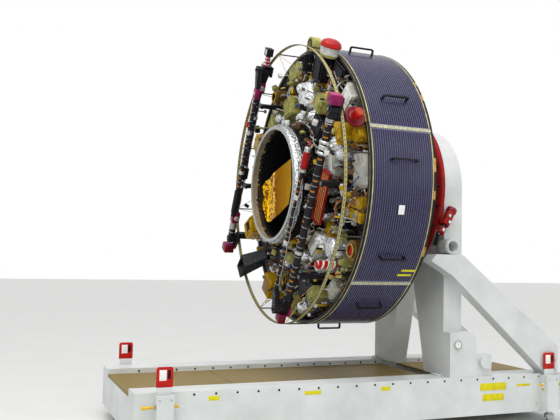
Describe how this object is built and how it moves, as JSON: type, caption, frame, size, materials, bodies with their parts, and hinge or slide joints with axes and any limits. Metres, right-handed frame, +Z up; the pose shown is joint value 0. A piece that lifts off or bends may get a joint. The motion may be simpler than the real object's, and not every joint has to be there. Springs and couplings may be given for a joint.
{
  "type": "spin-stabilised drum satellite on an integration trolley",
  "caption": "Drum satellite with solar-cell skin, front equipment face and two folding booms, held on its side by a white wheeled trolley with an arch upright.",
  "frame": {"origin": "on the floor under the middle of the trolley", "axes": "+X along the spin axis from the equipment face to the arch, +Z up"},
  "size_m": [4.64, 3.0198, 3.9686],
  "materials": {
    "adapter": "anodised red",
    "hoop": "glass fibre strip",
    "white_paint": "gloss white",
    "black_box": "matt black",
    "castor_rubber": "solid rubber",
    "hub_shell": "brushed",
    "plywood": "varnished",
    "rim": "dark composite",
    "carbon": "carbon fibre",
    "magenta_cover": "magenta",
    "silver_foil": "crumpled film",
    "gold_foil": "metallised film",
    "gold_box": "yellow chromate",
    "handle": "black",
    "steel": "zinc plated",
    "tag": "red",
    "olive_box": "green chromate",
    "platform": "black painted honeycomb panel",
    "cone": "satin",
    "red_cover": "gloss red",
    "bronze_can": "bronze chromate",
    "strip": "cream",
    "black_horn": "satin black",
    "silver_box": "satin",
    "solar_cells": "cell cover glass",
    "striped": "red with stripes",
    "head": "grey"
  },
  "bodies": {
    "root": {"adapter_ring": "adapter", "antenna_hoop": "hoop", "arch_upright": "white_paint", "base_frame": "white_paint", "black_boxes": "black_box", "boom_supports": "carbon", "braces": "white_paint", "central_cylinder": "hub_shell", "deck_boards": "plywood", "drum_rims": "rim", "foil_domes": "silver_foil", "foil_sheet": "gold_foil", "gold_boxes": "gold_box", "grab_handles": "handle", "hat_cover": "red_cover", "jack_feet": "steel", "jack_posts": "white_paint", "jack_tags": "tag", "nose_sensor": "olive_box", "olive_boxes": "olive_box", "platforms": "platform", "rear_cone": "cone", "red_dome": "red_cover", "root_covers": "magenta_cover", "round_sensors": "bronze_can", "seam_strips": "strip", "sensor_horn": "black_horn", "silver_boxes": "silver_box", "solar_panels": "solar_cells", "striped_covers": "striped", "tilt_gear": "white_paint", "trunnions": "white_paint", "turning_head": "head"},
    "near_inner": {"near_boom_inner": "carbon", "near_elbow_cover": "magenta_cover"},
    "near_outer": {"near_boom_outer": "carbon", "near_sensor_cover": "red_cover"},
    "far_inner": {"far_boom_inner": "carbon", "far_elbow_cover": "magenta_cover"},
    "far_outer": {"far_boom_outer": "carbon", "far_sensor_cover": "red_cover"},
    "castor_swivel_front_near": {"castor_fork_front_near": "steel"},
    "castor_roll_front_near": {"castor_wheel_front_near": "castor_rubber"},
    "castor_swivel_front_far": {"castor_fork_front_far": "steel"},
    "castor_roll_front_far": {"castor_wheel_front_far": "castor_rubber"},
    "castor_swivel_back_near": {"castor_fork_back_near": "steel"},
    "castor_roll_back_near": {"castor_wheel_back_near": "castor_rubber"},
    "castor_swivel_back_far": {"castor_fork_back_far": "steel"},
    "castor_roll_back_far": {"castor_wheel_back_far": "castor_rubber"}
  },
  "joints": [
    {"name": "near_boom_root", "type": "hinge", "parent": "root", "child": "near_inner", "pos_m": [-0.77, -1.3622, 2.99725], "axis": [-1, 0, 0], "range_deg": [0, 90]},
    {"name": "near_boom_middle", "type": "hinge", "parent": "near_inner", "child": "near_outer", "pos_m": [-0.83, -0.31663, 1.17496], "axis": [1, 0, 0], "range_deg": [0, 180]},
    {"name": "far_boom_root", "type": "hinge", "parent": "root", "child": "far_inner", "pos_m": [-0.77, 1.3622, 1.90275], "axis": [-1, 0, 0], "range_deg": [0, 90]},
    {"name": "far_boom_middle", "type": "hinge", "parent": "far_inner", "child": "far_outer", "pos_m": [-0.83, 0.31663, 3.72504], "axis": [1, 0, 0], "range_deg": [0, 180]},
    {"name": "castor_front_near_swivel", "type": "hinge", "parent": "root", "child": "castor_swivel_front_near", "pos_m": [-1.95, -0.33, 0.25], "axis": [0, 0, 1], "continuous": true},
    {"name": "castor_front_near_roll", "type": "hinge", "parent": "castor_swivel_front_near", "child": "castor_roll_front_near", "pos_m": [-1.905, -0.33, 0.113], "axis": [0, 1, 0], "continuous": true},
    {"name": "castor_front_far_swivel", "type": "hinge", "parent": "root", "child": "castor_swivel_front_far", "pos_m": [-1.95, 0.33, 0.25], "axis": [0, 0, 1], "continuous": true},
    {"name": "castor_front_far_roll", "type": "hinge", "parent": "castor_swivel_front_far", "child": "castor_roll_front_far", "pos_m": [-1.905, 0.33, 0.113], "axis": [0, 1, 0], "continuous": true},
    {"name": "castor_back_near_swivel", "type": "hinge", "parent": "root", "child": "castor_swivel_back_near", "pos_m": [1.95, -0.33, 0.25], "axis": [0, 0, 1], "continuous": true},
    {"name": "castor_back_near_roll", "type": "hinge", "parent": "castor_swivel_back_near", "child": "castor_roll_back_near", "pos_m": [1.995, -0.33, 0.113], "axis": [0, 1, 0], "continuous": true},
    {"name": "castor_back_far_swivel", "type": "hinge", "parent": "root", "child": "castor_swivel_back_far", "pos_m": [1.95, 0.33, 0.25], "axis": [0, 0, 1], "continuous": true},
    {"name": "castor_back_far_roll", "type": "hinge", "parent": "castor_swivel_back_far", "child": "castor_roll_back_far", "pos_m": [1.995, 0.33, 0.113], "axis": [0, 1, 0], "continuous": true}
  ],
  "couplings": [
    {"joint": "near_boom_middle", "follows": "near_boom_root", "ratio": 2},
    {"joint": "far_boom_middle", "follows": "far_boom_root", "ratio": 2}
  ]
}
